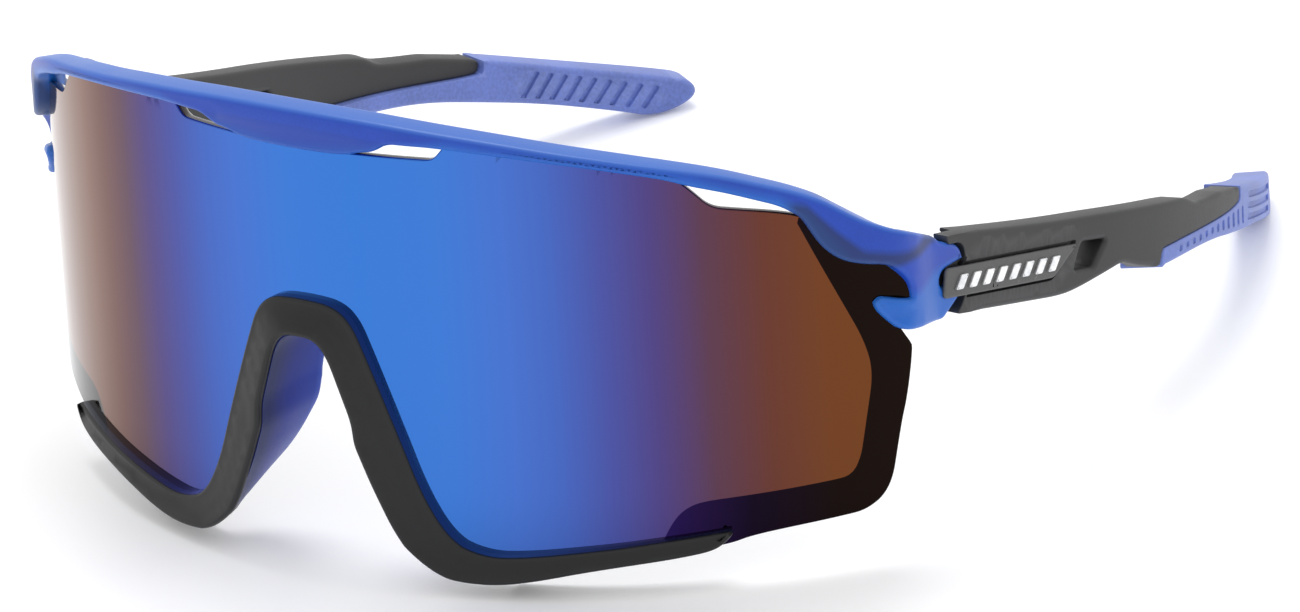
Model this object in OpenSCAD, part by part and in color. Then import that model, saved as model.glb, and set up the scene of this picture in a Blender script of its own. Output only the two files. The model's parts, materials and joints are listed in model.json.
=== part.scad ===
// Wraparound sport sunglasses with a one-piece shield lens.
// Millimetres. +Z is up, +X is the wearer's left and the lens looks along -Y.
// The glasses stand on their lower rim and their two temple tips, on z = 0.
// The lens bends round a nearly upright axis through x = 0, y = 0.

/* [Lens] */
// Radius of the lens's outer face
lens_r = 82.3; // [80:0.1:85]
// Thickness of the lens
lens_t = 2; // [1.6:0.1:2.4]
// Backward lean of the lens, in degrees
lens_lean = 2.4; // [0:0.1:5]

/* [Frame] */
// Depth of the brow frame in front of the lens
brow_front = 2.2; // [1.6:0.1:2.6]
// Depth of the brow frame behind the lens
brow_back = 3; // [2:0.1:4]
// How far the lower rim stands proud of the lens
rim_front = 3.1; // [2:0.1:3.4]
// Depth of the lower rim behind the lens
rim_back = 1.6; // [1:0.1:2.4]
// Thickness of the nose piece's wall
pad_t = 1.8; // [1.2:0.1:2]
// How far the nose piece reaches behind the lens's front
pad_reach = 12; // [8:0.5:14]

/* [Hinges] */
// Distance of each hinge axis from the middle plane
hinge_x = 70.1; // [69.9:0.1:70.3]
// Radius of the hinge screw's shank
screw_r = 0.8; // [0.6:0.05:0.9]
// Running clearance round the shank, in the temple's tongue
run_gap = 0.05; // [0.02:0.01:0.1]
// Air between the temple and the frame at the hinge
swing_gap = 0.3; // [0.2:0.05:0.35]
// Height of the temple's tongue between the frame's two ears
tongue_h = 3.8; // [3:0.1:4.4]

/* [Temples] */
// Thickness of the temple arm
arm_t = 4.4; // [4:0.1:5]
// Thickness of the rubber tip
tip_t = 5.4; // [5:0.1:6]
// Outward slant of the temple's straight stretch, in degrees
arm_lead = 2.4; // [0:0.1:3]
// Length of the temple's straight stretch, from the hinge axis
arm_straight = 37; // [36.5:0.5:40]
// Radius of the temple's inward bend, on its outer face
arm_bend_r = 136; // [130:1:150]
// Length of the badge plate along the temple
badge_l = 29.4; // [28:0.1:30]
// Height of the badge plate
badge_h = 4.3; // [4:0.1:4.6]
// Number of slanted bars on the badge
bar_count = 8; // [4:1:10]

/* [Hidden] */
$fn = 96;
// Extents of the cutting shapes, all larger than the glasses
cut_l = 110;
cut_h = 60;
cut_w = 80;
cut_deep = 10;
hinge_y = -32;
hinge_z = 37.5;
pivot_z = 35;
arm_out = 3.3;
arm_in = arm_out - arm_t;
ear_r = 3;
swing_r = 4;
ear_top = 42.8;
ear_bottom = 31.2;
slot_h = tongue_h + 0.4;
head_r = 1.5;
head_h = 1;
core_t = 1.8;
badge_slope = 15;
badge_start = -1.4;
badge_root = 5.4;
badge_depth = 0.7;
badge_proud = 0.5;
badge_margin = 0.45;
bar_t = 0.25;
bar_half_h = 0.9;
// Half angles of the parts that follow the lens
lens_half_angle = 61;
brow_half_angle = 62.5;
claw_half_angle = 63.5;
rim_half_angle = 50;
pad_half_angle = 40;
// How far the nose piece's front lies behind the rim's
pad_setback = 0.8;
// How far the screw's shank stops below the top of the upper ear
ear_cap = 1.2;
// The endpiece's block, inward of and in front of the hinge axis
block_in = 2.8;
block_ahead = 8.6;
// The root that joins the endpiece to the brow, and its inner side
root_side = [[-12.4, 48.4], [-6.4, 45.3], [-4, 44.4], [-4, 40], [-12.4, 40]];
root_in = 2.2;
// Inner side of the temple's tongue
tongue_in = 2.6;
// Width and depth of the screw's slot
driver_w = 0.4;
driver_h = 0.4;
// Rear end of the badge plate, and what it leaves free of bars
badge_slant = 5.2;
bar_free = 6.5;
badge_drop = 0.5;

// Half outlines are given for x >= 0 in front view, as [x, z], from the top down.
lens_half = [
    [0, 62.9], [21.5, 62.9], [23, 65.4], [36, 64.2], [50.6, 60.2], [53.6, 55],
    [54.8, 54.1], [62, 52], [64.5, 50.3], [67.2, 48.2], [70.7, 42.5], [72, 36], [72, 29],
    [71.2, 20], [69.6, 10.4], [68.9, 8.5], [67.8, 7.1], [66.2, 6.6], [57, 6.5], [54, 5.2],
    [39.4, 4.6], [29.1, 3.3], [25, 3.4], [20.6, 5.2], [17.6, 8.6], [14.9, 14],
    [12.5, 21], [8.8, 31.4], [6.4, 37.8], [4.8, 39.1], [0, 39.7]
];
brow_half = [
    [0, 69.3], [11, 69], [21, 68.2], [32, 66.8], [44, 64.2], [57, 59.8], [64.4, 56],
    [66.9, 53.8], [69.5, 50], [72, 47.4], [74, 46.2], [74, 42],
    [71.7, 42.2], [68.1, 43.4], [66.2, 46.4], [65.1, 50], [64.1, 52], [61.8, 53.6],
    [52.9, 58.2], [48.8, 59.6], [37.3, 62.6], [23, 64.4], [14.3, 64.5], [11.8, 63.2],
    [9.7, 63.2], [7.2, 61.9], [0, 61.6]
];
claw_half = [[69.9, 36.9], [70.4, 38], [74, 37], [74, 32], [71.3, 32.6]];
rim_half = [
    [0, 41.6], [5.4, 41.1], [7.8, 39.6], [10.6, 31.9], [14.3, 21.4], [16.8, 14], [19.4, 9.3],
    [22.1, 6.7], [25.4, 5.4], [29.1, 5.1], [39.4, 6.4], [47.1, 7.2], [55.6, 7.4],
    [56.4, 6.6], [54.4, 4.3], [52.4, 3.8], [41, 2.6], [32, 0], [24, 0], [20, 1.6],
    [14.1, 8], [10.3, 15.6], [8.1, 21.1], [7.8, 24.5], [4.6, 33.7], [2.5, 35.7], [0, 36]
];
pad_half = [
    [0, 36 + pad_t], [3.4, 35.5 + pad_t], [4.6 + pad_t, 34.4], [7.8 + pad_t, 24.9],
    [8.1 + pad_t, 21.6], [10.3 + pad_t, 16.4], [14.1 + pad_t, 9], [20 + pad_t, 3.2],
    [20, 1.6], [14.1, 8], [10.3, 15.6], [8.1, 21.1], [7.8, 24.5], [4.6, 33.7], [2.5, 35.7],
    [0, 36]
];

// Side outlines are given as [u, z], where u is the distance behind the hinge axis.
arm_side = [
    [-5, 45], [-5, 31.2], [-1, 31.2], [24.6, 24.1], [33.8, 23.2], [43.2, 23.1], [46.4, 20.8],
    [50.4, 19.3], [50.4, 21.7], [66, 18.5], [79.3, 15.8], [83.2, 16.2], [74.4, 20.9],
    [63.8, 23.1], [61.3, 24.8], [57, 26.9], [48.4, 29.3], [36.4, 32.9], [22.9, 36.9],
    [-1.6, 43.9]
];
tip_side = [
    [50.4, 19.3], [50.4, 21.7], [66, 18.5], [79.3, 15.8], [83.2, 16.2], [74.4, 20.9],
    [84.2, 16.8], [103.4, 9.2], [115, 4.4], [116.9, 2.6], [115.6, 0.9], [112, 0],
    [109.8, 0], [105.8, 2.2], [93.6, 6.9], [81.2, 11], [68.1, 15.2]
];
core_side = [
    [60, 19.7], [79.3, 15.8], [83.2, 16.2], [100, 8.6], [98, 7.2], [80, 13], [60, 18.3]
];
window_side = [[27.3, 26.6], [31.7, 25.5], [35.8, 28.5], [30.5, 30.2]];

function mirrored(half) = concat(
    half, [for (i = [len(half) - 1 : -1 : 0]) [-half[i][0], half[i][1]]]);

// Everything inside a closed front-view outline, right through the glasses.
module front_cut(outline) {
    rotate([90, 0, 0])
        linear_extrude(cut_l)
            polygon(outline);
}

// A wall that follows the lens, from a depth behind its outer face to one in front.
module lens_wall(behind, ahead, half_angle) {
    reach = 2 * lens_r;
    translate([0, -lens_r, pivot_z])
        rotate([-lens_lean, 0, 0])
            translate([0, lens_r, -pivot_z - 10])
                linear_extrude(cut_l)
                    intersection() {
                        difference() {
                            circle(lens_r + ahead);
                            circle(lens_r - behind);
                        }
                        polygon([
                            [0, 0],
                            [-reach * sin(half_angle), -reach * cos(half_angle)],
                            [0, -1.5 * reach],
                            [reach * sin(half_angle), -reach * cos(half_angle)]
                        ]);
                    }
}

// The lens as it is cut out of its cylinder.
module lens_body() {
    intersection() {
        lens_wall(lens_t, 0, lens_half_angle);
        front_cut(mirrored(lens_half));
    }
}

// The frame of the left hinge: x outward, y back along the temple, z up.
module at_hinge() {
    translate([hinge_x, hinge_y, 0])
        rotate([0, 0, -arm_lead])
            children();
}

// Everything inside a side-view outline, between two distances outward of the hinge axis.
module side_cut(outline, from, to) {
    translate([from, 0, 0])
        rotate([90, 0, 90])
            linear_extrude(to - from)
                polygon(outline);
}

// Plan of the temple: a straight stretch, then an inward bend of constant radius.
module arm_wall(outer, inner) {
    outer_r = arm_bend_r - arm_out + outer;
    inner_r = arm_bend_r - arm_out + inner;
    linear_extrude(cut_h) {
        translate([inner, -swing_r - 1])
            square([outer - inner, swing_r + 1 + arm_straight]);
        translate([arm_out - arm_bend_r, arm_straight])
            intersection() {
                difference() {
                    circle(outer_r);
                    circle(inner_r);
                }
                square([outer_r, outer_r]);
            }
    }
}

// A cylinder about the hinge axis, between two heights.
module hinge_cylinder(radius, low, high) {
    translate([0, 0, low])
        cylinder(r = radius, h = high - low);
}

// Endpiece of one side: the block behind the lens, with two ears round the hinge axis.
module endpiece() {
    difference() {
        union() {
            translate([-block_in, -block_ahead, ear_bottom])
                cube([block_in + ear_r, block_ahead, ear_top - ear_bottom]);
            side_cut(root_side, -root_in, ear_r);
            hinge_cylinder(ear_r, ear_bottom, ear_top);
        }
        hinge_cylinder(swing_r + swing_gap, hinge_z - slot_h / 2, hinge_z + slot_h / 2);
        hinge_cylinder(screw_r, ear_bottom - 1, ear_top - ear_cap);
        hinge_cylinder(head_r, ear_bottom - 1, ear_bottom + head_h);
    }
}

// The bar, the claws and both endpieces, less the lens that sits in their groove.
module brow_frame_body() {
    difference() {
        union() {
            intersection() {
                lens_wall(lens_t + brow_back, brow_front, brow_half_angle);
                front_cut(mirrored(brow_half));
            }
            for (side = [0, 1])
                mirror([side, 0, 0]) {
                    intersection() {
                        lens_wall(0, brow_front, claw_half_angle);
                        front_cut(claw_half);
                    }
                    at_hinge() endpiece();
                }
        }
        lens_body();
        for (side = [0, 1])
            mirror([side, 0, 0])
                at_hinge()
                    hinge_cylinder(swing_r + swing_gap, ear_top, cut_h);
    }
}

// The arch that lines the rim's opening, cut off square at its back.
module nose_piece_body() {
    intersection() {
        translate([-cut_w / 2, pad_reach - lens_r - cut_l, 0])
            cube([cut_w, cut_l, cut_h]);
        lens_wall(pad_reach + 4, rim_front - pad_setback, pad_half_angle);
        front_cut(mirrored(pad_half));
    }
}

// The arm, its tongue and the core that the rubber grips, with the seat and the window cut in.
module temple_body() {
    low = hinge_z - tongue_h / 2;
    high = hinge_z + tongue_h / 2;
    difference() {
        union() {
            intersection() {
                arm_wall(arm_out, arm_in);
                side_cut(arm_side, -cut_w, cut_deep);
                union() {
                    hinge_cylinder(swing_r, 0, cut_h);
                    translate([-cut_w, 0, 0])
                        cube([cut_w + cut_deep, 1.5 * cut_l, cut_h]);
                }
            }
            intersection() {
                hinge_cylinder(swing_r, low, high);
                translate([-tongue_in, -swing_r, low])
                    cube([tongue_in + arm_out, 2 * swing_r, tongue_h]);
            }
            intersection() {
                arm_wall(arm_out - (tip_t - core_t) / 2, arm_out - (tip_t + core_t) / 2);
                side_cut(core_side, -cut_w, cut_deep);
            }
        }
        difference() {
            union() {
                hinge_cylinder(ear_r + swing_gap, 0, ear_top + swing_gap);
                translate([-cut_deep, -2 * cut_deep, 0])
                    cube([2 * cut_deep, 2 * cut_deep, ear_top + swing_gap]);
            }
            translate([-cut_deep, -2 * cut_deep, low])
                cube([2 * cut_deep, 4 * cut_deep, tongue_h]);
        }
        hinge_cylinder(screw_r + run_gap, low - 1, high + 1);
        side_cut(window_side, -cut_deep, cut_deep);
        difference() {
            at_badge(arm_out - badge_depth)
                badge_outline(badge_margin, badge_depth + 1);
            hinge_cylinder(badge_root, 0, cut_h);
        }
    }
}

// The badge's own frame: x along the temple and down with it, y up, z outward.
module at_badge(outward) {
    translate([outward, badge_start, hinge_z - badge_drop])
        rotate([90, 0, 90])
            rotate([0, 0, -badge_slope])
                children();
}

// A plate with a round front end and a slanted rear end.
module badge_outline(grow, thick) {
    half = badge_h / 2 + grow;
    linear_extrude(thick)
        union() {
            intersection() {
                circle(half);
                translate([-half, -half])
                    square([half, 2 * half]);
            }
            polygon([
                [0, -half], [badge_l - badge_slant, -half], [badge_l + grow, half], [0, half]
            ]);
        }
}

// A row of slanted bars on top of the badge plate.
module badge_bars_body() {
    pitch = (badge_l - bar_free) / bar_count;
    half = bar_half_h;
    at_badge(arm_out + badge_proud)
        linear_extrude(bar_t)
            for (i = [0 : bar_count - 1])
                translate([pitch * i + 1, 0])
                    polygon([[0, -half], [pitch * 0.55, -half], [pitch * 0.95, half], [pitch * 0.4, half]]);
}

// What is drawn at the left hinge, put in place on the left or mirrored to the right.
module left() {
    at_hinge() children();
}

module right() {
    mirror([1, 0, 0]) at_hinge() children();
}

// The mirror-coated shield lens, notched for the nose.
module lens() {
    color("royalblue") lens_body();
}

// The translucent brow, with an endpiece, a fork and a claw at each side.
module brow_frame() {
    color("mediumblue") brow_frame_body();
}

// The black lower rim, one W-shaped piece that grips the lens's edge in a groove.
module lower_rim() {
    color("dimgray")
        difference() {
            intersection() {
                lens_wall(lens_t + rim_back, rim_front, rim_half_angle);
                front_cut(mirrored(rim_half));
            }
            lens_body();
            nose_piece_body();
        }
}

// The translucent nose piece, one arch that lines the rim's opening.
module nose_piece() {
    color("blue")
        difference() {
            nose_piece_body();
            lens_body();
        }
}

// One hinge screw, put in from below, with its head sunk in the lower ear.
module hinge_screw() {
    color("silver")
        union() {
            hinge_cylinder(screw_r, ear_bottom + head_h, ear_top - ear_cap);
            difference() {
                hinge_cylinder(head_r, ear_bottom + 0.1, ear_bottom + head_h);
                translate([-head_r, -driver_w / 2, ear_bottom])
                    cube([2 * head_r, driver_w, 0.1 + driver_h]);
            }
        }
}

module hinge_screw_left() {
    left() hinge_screw();
}

module hinge_screw_right() {
    right() hinge_screw();
}

module temple_left() {
    color("dimgray") left() temple_body();
}

module temple_right() {
    color("dimgray") right() temple_body();
}

// The rubber tip, moulded round the arm's core.
module temple_tip() {
    difference() {
        intersection() {
            arm_wall(arm_out, arm_out - tip_t);
            side_cut(tip_side, -cut_w, cut_deep);
        }
        intersection() {
            arm_wall(arm_out - (tip_t - core_t) / 2, arm_out - (tip_t + core_t) / 2);
            side_cut(core_side, -cut_w, cut_deep);
        }
    }
}

module temple_tip_left() {
    color("cornflowerblue") left() temple_tip();
}

module temple_tip_right() {
    color("cornflowerblue") right() temple_tip();
}

// The plate is let into the arm, and lies on top of the ears where it reaches over them.
module badge_plate() {
    at_badge(arm_out)
        badge_outline(0, badge_proud);
    difference() {
        at_badge(arm_out - badge_depth)
            badge_outline(0, badge_depth);
        hinge_cylinder(badge_root + badge_margin, 0, cut_h);
    }
}

module badge_plate_left() {
    color("gray") left() badge_plate();
}

module badge_plate_right() {
    color("gray") right() badge_plate();
}

module badge_bars_left() {
    color("white") left() badge_bars_body();
}

module badge_bars_right() {
    color("white") right() badge_bars_body();
}

lens();
brow_frame();
lower_rim();
nose_piece();
hinge_screw_left();
hinge_screw_right();
temple_left();
temple_right();
temple_tip_left();
temple_tip_right();
badge_plate_left();
badge_plate_right();
badge_bars_left();
badge_bars_right();
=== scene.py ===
# %% [markdown]
# # Wraparound sport sunglasses
# One tall mirrored shield hangs from a translucent blue brow, and a black rim holds its
# lower edge and runs up over the nose. The temples fold on two hinges and end in soft
# rubber tips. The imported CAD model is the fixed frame: it gives every place, and this
# lesson lays finely rounded surfaces over it, in metres.

# %% Load the frame
import json
import math

import bpy
import numpy as np
from mathutils import Matrix, Vector
from mathutils.geometry import delaunay_2d_cdt


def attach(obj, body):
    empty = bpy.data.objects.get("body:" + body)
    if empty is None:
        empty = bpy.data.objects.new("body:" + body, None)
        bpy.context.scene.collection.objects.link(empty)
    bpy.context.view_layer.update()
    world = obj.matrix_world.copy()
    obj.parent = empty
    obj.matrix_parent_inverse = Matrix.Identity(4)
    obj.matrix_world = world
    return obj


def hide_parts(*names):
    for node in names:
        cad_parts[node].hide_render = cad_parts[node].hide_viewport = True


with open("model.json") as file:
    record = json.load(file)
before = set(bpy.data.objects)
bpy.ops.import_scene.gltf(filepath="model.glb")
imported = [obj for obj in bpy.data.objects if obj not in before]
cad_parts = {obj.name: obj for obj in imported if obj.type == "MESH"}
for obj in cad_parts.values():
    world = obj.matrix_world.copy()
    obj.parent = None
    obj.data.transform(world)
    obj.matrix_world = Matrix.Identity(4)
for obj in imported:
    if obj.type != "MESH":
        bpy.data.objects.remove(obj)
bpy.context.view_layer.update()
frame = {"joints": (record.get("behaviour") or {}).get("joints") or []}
MM = 0.001

# %% [markdown]
# ## The two measuring lines
# Moulded eyewear is flat plate bent round the face, so each piece is drawn flat, as an
# outline with a distance along the bend and a height, and then bent into place. The lens
# bends on one cylinder that leans back a little. The temple runs straight from its hinge
# and then curves in behind the ear. The brow needs a third line, which follows the lens
# and then turns smoothly on to the temple's line.

# %% Lens cylinder
LENS_R = 88.3          # radius of the lens's outer face
LENS_Y = 6.0           # the cylinder's axis lies this far behind the origin
LEAN = math.tan(math.radians(2.4))
PIVOT_Z = 35.0         # the height that the lean leaves in place


def on_lens(s, d, z):
    """s runs along the lens's outer face from the middle, d is outward, z is height."""
    a = s / LENS_R
    lean = LENS_Y + LEAN * (z - PIVOT_Z)
    return np.stack([(LENS_R + d) * np.sin(a), lean - (LENS_R + d) * np.cos(a), z], -1)


def along(x, d=0.0):
    """The distance along the lens of a point seen at x from straight ahead, d in front."""
    return LENS_R * math.asin(x / (LENS_R + d))


# %% Temple line
joint = {j["name"]: j for j in frame["joints"]}
HINGE = np.array(joint["fold_left"]["pos_m"]) / MM
LEAD = math.radians(2.4)       # outward slant of the straight stretch
ARM_OUT = 3.3                  # the temple's outer face, outward of the hinge axis
ARM_IN = -1.1                  # its inner face
STRAIGHT = 37.0                # length of the straight stretch
BEND_R = 136.0                 # radius of the curve behind the ear
SEAM_SLANT = 0.5               # shift of the rubber's seam for each mm of thickness
SEAM_STRETCH = ([46, 51, 57, 76], [0, 1, 1, 0])
SEAM_TOP, SEAM_FADE = 26, 4
print("hinge axis in mm:", HINGE.round(2))


def on_arm(u, d, z):
    """u runs back from the hinge axis, d is outward of that axis, z is height.
    Where the rubber begins, the seam starts further forward on the inner face."""
    slant = SEAM_SLANT * (d - (ARM_OUT + ARM_IN) / 2)
    u = u + slant * np.interp(u, *SEAM_STRETCH) * np.clip((SEAM_TOP - z) / SEAM_FADE, 0, 1)
    turn = np.arcsin(np.clip((u - STRAIGHT) / BEND_R, 0, 1))
    off = d - ARM_OUT
    x = ARM_OUT - BEND_R * (1 - np.cos(turn)) + off * np.cos(turn)
    y = np.minimum(u, STRAIGHT) + BEND_R * np.sin(turn) + off * np.sin(turn)
    c, s = math.cos(LEAD), math.sin(LEAD)
    return np.stack([HINGE[0] + c * x + s * y, HINGE[1] - s * x + c * y, z], -1)


# %% Brow line
BROW_FRONT = 2.2               # the brow's outer face, in front of the lens
TURN = math.radians(51)        # where the brow leaves the lens's cylinder
SWING = 1.3                    # how widely it swings out between lens and hinge
arc = np.linspace(0, TURN, 100)
arc = np.stack([np.sin(arc), -np.cos(arc)], -1) * (LENS_R + BROW_FRONT) + [0, LENS_Y]
end_u = np.arange(-3.5, 8, 0.5)
end = on_arm(end_u, ARM_OUT + 0 * end_u, 0 * end_u)[:, :2]
reach = SWING * np.linalg.norm(end[0] - arc[-1])
leave = np.array([math.cos(TURN), math.sin(TURN)]) * reach
arrive = np.array([math.sin(LEAD), math.cos(LEAD)]) * reach
t = np.linspace(0, 1, 30)[1:-1, None]
turn_in = ((2 * t**3 - 3 * t**2 + 1) * arc[-1] + (t**3 - 2 * t**2 + t) * leave
           + (3 * t**2 - 2 * t**3) * end[0] + (t**3 - t**2) * arrive)
spine = np.concatenate([arc, turn_in, end])
spine_s = np.concatenate([[0], np.cumsum(np.linalg.norm(np.diff(spine, axis=0), axis=1))])
slope = np.gradient(spine, spine_s, axis=0)
slope /= np.linalg.norm(slope, axis=1)[:, None]
FREE = len(arc) + len(turn_in)     # the points ahead of the knuckle
ARC_S = spine_s[len(arc) - 1]
HINGE_S = float(np.interp(HINGE[1], spine[FREE:, 1], spine_s[FREE:]))
UPRIGHT_S = HINGE_S - 4            # the lean has faded out here
print("brow line: leaves the lens at", round(ARC_S, 1), "and passes the hinge at", round(HINGE_S, 1))


def on_brow(s, d, z):
    """s runs along the brow's outer face, d is outward of that face, z is height."""
    q, side = np.abs(s), np.sign(s)
    x, y = (np.interp(q, spine_s, spine[:, i]) for i in (0, 1))
    tx, ty = (np.interp(q, spine_s, slope[:, i]) for i in (0, 1))
    hold = np.clip((UPRIGHT_S - q) / (UPRIGHT_S - ARC_S), 0, 1)
    lean = LEAN * (z - PIVOT_Z) * hold
    return np.stack([side * (x + ty * d), y - tx * d + lean, z], -1)


def at_x(x):
    """The distance along the brow of a point at x."""
    return float(np.interp(x, spine[:FREE, 0], spine_s[:FREE]))


def at_y(y):
    """The same for a point at y."""
    return float(np.interp(y, spine[:, 1], spine_s))


# %% [markdown]
# ## Outlines
# A moulder rounds every corner. An outline is a short list of corners, each with how much
# of it is cut away. Quadratic arcs replace the corners, and even spacing afterwards keeps
# the mesh regular wherever the edge bends.

# %% Outline helpers
WHOLE = 1e9            # a corner that is cut as far as its neighbours allow
ARC_POINTS = 12


def rounded(corners, step=0.5, closed=True):
    """Corners are (x, y) or (x, y, length cut away). Returns evenly spaced points."""
    p = np.array([c[:2] for c in corners], float)
    n = len(p)
    out = []
    for i in range(n):
        if not closed and i in (0, n - 1):
            out.append(p[i][None])
            continue
        a, b, c = p[i - 1], p[i], p[(i + 1) % n]
        la, lc = np.linalg.norm(a - b), np.linalg.norm(c - b)
        cut = corners[i][2] if len(corners[i]) > 2 else WHOLE
        s = b + (a - b) * min(cut / la, 0.5)
        e = b + (c - b) * min(cut / lc, 0.5)
        t = np.linspace(0, 1, ARC_POINTS)[:, None]
        out.append((1 - t) ** 2 * s + 2 * t * (1 - t) * b + t * t * e)
    line = np.concatenate(out)
    if closed:
        line = np.concatenate([line, line[:1]])
    far = np.concatenate([[0], np.cumsum(np.linalg.norm(np.diff(line, axis=0), axis=1))])
    n = max(8, int(round(far[-1] / step)))
    at = np.linspace(0, far[-1], n + (not closed), endpoint=not closed)
    return np.stack([np.interp(at, far, line[:, i]) for i in (0, 1)], -1)


def both_sides(half):
    """Closes a right half, given from the top middle to the bottom middle."""
    other = [(-c[0], *c[1:]) for c in half[::-1] if abs(c[0]) > 0.01]
    return list(half) + other


def turned(loop, left=True):
    """The loop with its inside on the left, or on the right for a hole."""
    x, y = loop[:, 0], loop[:, 1]
    area = np.sum(x * np.roll(y, -1) - np.roll(x, -1) * y)
    return loop if (area > 0) == left else loop[::-1]


def inset(loop, by):
    """Moves a loop towards its inside, by one distance or one for each point."""
    d = np.roll(loop, -1, 0) - np.roll(loop, 1, 0)
    n = np.stack([-d[:, 1], d[:, 0]], -1) / np.linalg.norm(d, axis=1)[:, None]
    return loop + n * np.reshape(by, (-1, 1))


def inside(points, loops):
    """Whether each point lies inside an odd number of loops."""
    hit = np.zeros(len(points), bool)
    px, py = points[:, :1], points[:, 1:]
    for loop in loops:
        x0, y0 = loop[:, 0], loop[:, 1]
        x1, y1 = np.roll(x0, -1), np.roll(y0, -1)
        rise = np.where(y1 == y0, 1e-12, y1 - y0)
        cross = ((y0 <= py) != (y1 <= py)) & (px < (x1 - x0) * (py - y0) / rise + x0)
        hit ^= cross.sum(1) % 2 == 1
    return hit


BATCH = 200            # segments measured at a time, to spare memory


def gap_to(points, line, closed=True):
    """Distance from each point to a line of short segments."""
    a = line if closed else line[:-1]
    b = np.roll(line, -1, 0) if closed else line[1:]
    ab = b - a
    best = np.full(len(points), np.inf)
    for k in range(0, len(a), BATCH):
        pa = points[:, None] - a[None, k:k + BATCH]
        seg = ab[None, k:k + BATCH]
        t = np.clip((pa * seg).sum(-1) / np.maximum((seg**2).sum(-1), 1e-12), 0, 1)
        best = np.minimum(best, np.linalg.norm(pa - seg * t[..., None], axis=-1).min(1))
    return best



# %% [markdown]
# ## A plate with rounded edges
# Every moulded part here is a plate: two faces and a rim that rolls over from one to the
# other. The rim is built from rings that follow the outline, and each face is filled with
# triangles that meet the last ring exactly. A face may carry sunk shapes, such as a groove
# or the seat of a badge, and their edges are kept as lines in the mesh. The flat plate is
# bent only at the end.

# %% Plate builder
class Sunk:
    """A shape let into a face: its outline, its depth and the width of its sloping wall."""

    def __init__(self, outline, depth, wall=0.2):
        self.loop, self.depth, self.wall = turned(outline), depth, wall
        self.low, self.high = self.loop.min(0) - 1, self.loop.max(0) + 1

    def lines(self):
        return [inset(self.loop, -self.wall / 2), inset(self.loop, self.wall / 2)]

    def at(self, p):
        out = np.zeros(len(p))
        near = np.all((p > self.low) & (p < self.high), axis=1)
        if near.any():
            q = p[near]
            gap = gap_to(q, self.loop) * np.where(inside(q, [self.loop]), 1, -1)
            out[near] = self.depth * np.clip(gap / self.wall + 0.5, 0, 1)
        return out


GRID_SHIFT, GRID_CLEAR = 0.37, 0.45    # of the inner points
NO_AREA = 1e-9


def fill(loops, ids, lines, step):
    """Triangles inside the loops. Returns the new points and faces that name all points."""
    pts = [p for loop in loops for p in loop]
    names = [i for group in ids for i in group]
    edges, start = [], 0
    for loop in loops:
        n = len(loop)
        edges += [(start + k, start + (k + 1) % n) for k in range(n)]
        start += n
    for line, closed in lines:
        n = len(line)
        edges += [(start + k, start + (k + 1) % n) for k in range(n if closed else n - 1)]
        pts += list(line)
        start += n
    fixed = np.array(pts)
    low, high = fixed.min(0), fixed.max(0)
    gx, gy = np.meshgrid(np.arange(low[0], high[0], step), np.arange(low[1], high[1], step))
    grid = np.stack([gx.ravel(), gy.ravel()], -1) + step * GRID_SHIFT
    grid = grid[inside(grid, loops)]
    if len(grid):
        grid = grid[gap_to(grid, fixed, closed=False) > step * GRID_CLEAR]
    pts += list(grid)
    verts, _, faces, origin, _, _ = delaunay_2d_cdt([Vector(p) for p in pts], edges, [], 0, 1e-6)
    flat = np.array([v[:] for v in verts])
    new, name = [], {}
    for k, came in enumerate(origin):
        known = [i for i in came if i < len(names)]
        if known:
            name[k] = names[known[0]]
        else:
            name[k] = ("new", len(new))
            new.append(flat[k])
    tri = np.array([f for f in faces if len(f) == 3])
    tri = tri[inside(flat[tri].mean(1), loops)]
    a, b, c = flat[tri[:, 0]], flat[tri[:, 1]], flat[tri[:, 2]]
    area = (b[:, 0] - a[:, 0]) * (c[:, 1] - a[:, 1]) - (b[:, 1] - a[:, 1]) * (c[:, 0] - a[:, 0])
    tri, area = tri[np.abs(area) > NO_AREA], area[np.abs(area) > NO_AREA]
    tri = np.where(area[:, None] > 0, tri, tri[:, ::-1])
    return np.array(new).reshape(-1, 2), [[name[i] for i in f] for f in tri], flat[tri].mean(1)


def surface(f, p):
    """A depth or rounding at each point, from a number or a function."""
    return f(p[:, 0], p[:, 1]) if callable(f) else np.full(len(p), float(f))


ROLL_STEPS = 4               # steps in which an edge rolls over
FLAT_BAND = 0.25       # width of the flat ring inside a rolled edge
TRUE_FACING = 0.93     # agreement of a face with the exact normal


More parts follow.
